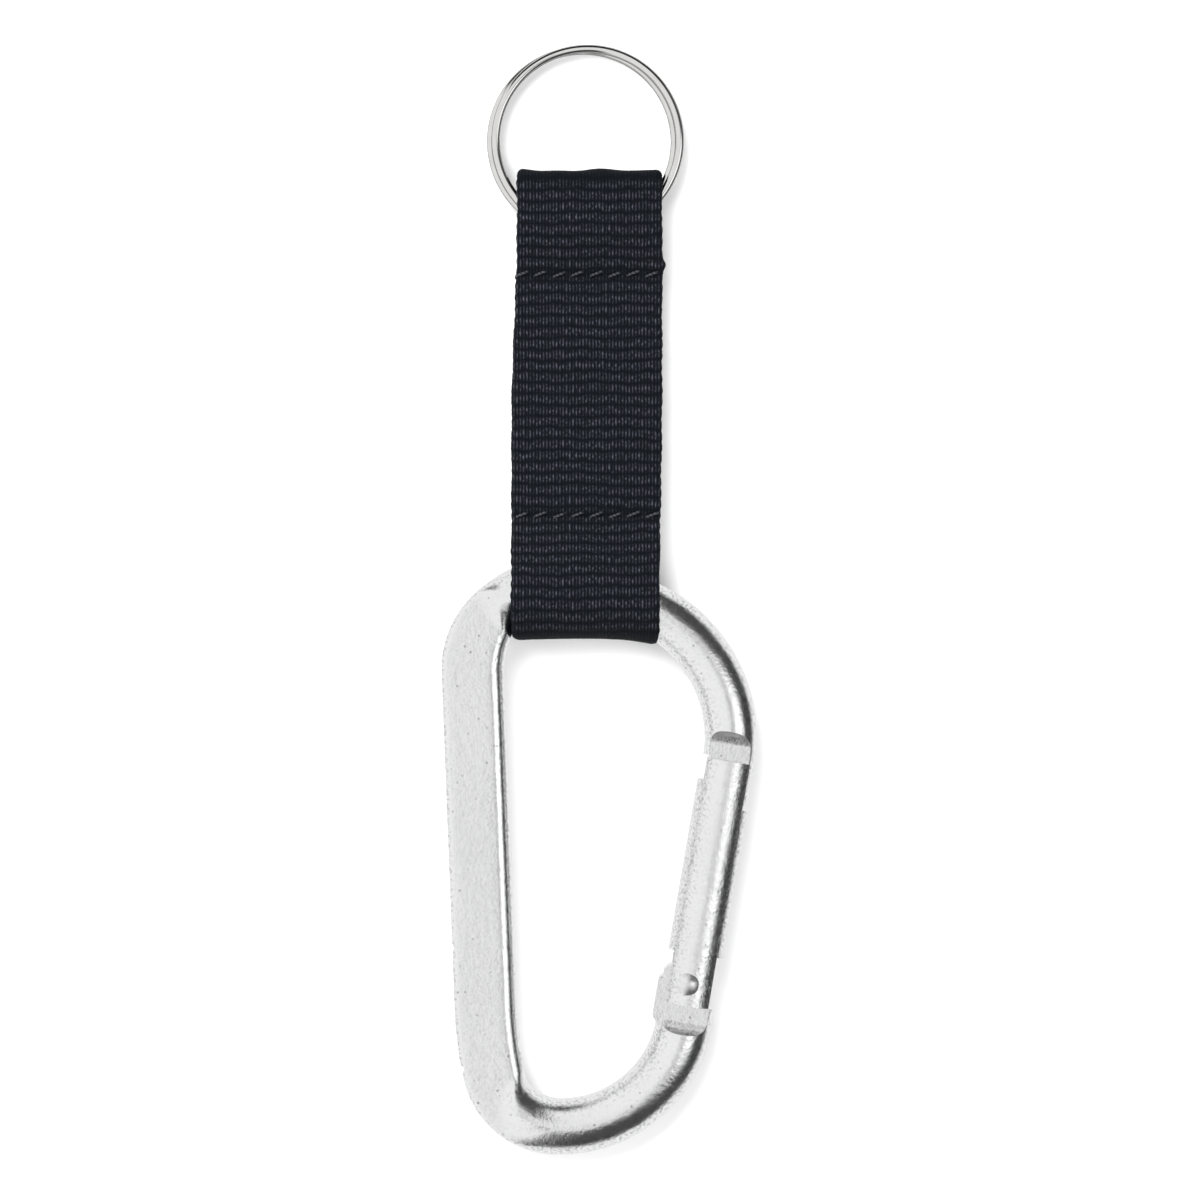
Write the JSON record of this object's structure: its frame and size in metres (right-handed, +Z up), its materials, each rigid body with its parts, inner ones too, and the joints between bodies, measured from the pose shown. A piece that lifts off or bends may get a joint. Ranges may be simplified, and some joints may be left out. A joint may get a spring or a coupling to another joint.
{
  "type": "carabiner keyring",
  "caption": "D-shaped snap hook with a sprung gate, a folded ribbed webbing strap and a split ring for keys.",
  "frame": {"origin": "middle of the object's box, on the surface it lies on", "axes": "+Y along the object from the hook to the ring, +X to the gate's side, +Z up from the surface"},
  "size_m": [0.042, 0.1483, 0.0099],
  "materials": {
    "aluminium": "polished, with fine scuffs",
    "webbing": "ribbed black nylon webbing",
    "thread": "black bonded nylon thread",
    "ring_steel": "bright nickel plate",
    "spring_steel": "bright spring wire"
  },
  "bodies": {
    "carabiner": {"carabiner_body": "aluminium", "bar_loop": "webbing"},
    "gate": {"gate": "aluminium", "gate_rivet": "aluminium"},
    "plunger": {"gate_plunger": "spring_steel", "gate_spring": "spring_steel"},
    "strap_lower": {"strap_lower": "webbing", "lower_stitches": "thread"},
    "strap_upper": {"strap_upper": "webbing", "upper_stitches": "thread"},
    "ring_loop": {"ring_loop": "webbing"},
    "ring": {"split_ring": "ring_steel"}
  },
  "joints": [
    {"name": "gate_hinge", "type": "hinge", "parent": "carabiner", "child": "gate", "pos_m": [0.01164, -0.05104, 0.00406], "axis": [0, -0.0161, 0.9999], "range_deg": [0, 40], "stiffness_Nm_per_rad": 0.06, "springref_deg": -17.19},
    {"name": "plunger_slide", "type": "slide", "parent": "gate", "child": "plunger", "axis": [0.1685, 0.9856, 0.0159], "range_m": [0, 0.0008], "deforming": ["gate_spring"]},
    {"name": "strap_swing", "type": "hinge", "parent": "carabiner", "child": "strap_lower", "pos_m": [-0.00175, 0.0001, 0.00488], "axis": [1, 0, 0], "range_deg": [-110, 110]},
    {"name": "strap_flex", "type": "hinge", "parent": "strap_lower", "child": "strap_upper", "pos_m": [-0.00175, 0.02738, 0.00377], "axis": [1, 0, 0], "range_deg": [-40, 40]},
    {"name": "ring_flap", "type": "hinge", "parent": "strap_upper", "child": "ring_loop", "pos_m": [-0.00175, 0.04556, 0.00302], "axis": [1, 0, 0], "range_deg": [-50, 50]},
    {"name": "ring_spin", "type": "hinge", "parent": "ring_loop", "child": "ring", "pos_m": [-0.00175, 0.06145, 0.00213], "axis": [0, 0.0664, 0.9978], "continuous": true}
  ],
  "couplings": [
    {"joint": "plunger_slide", "follows": "gate_hinge", "m_per_rad": 0.0011}
  ]
}
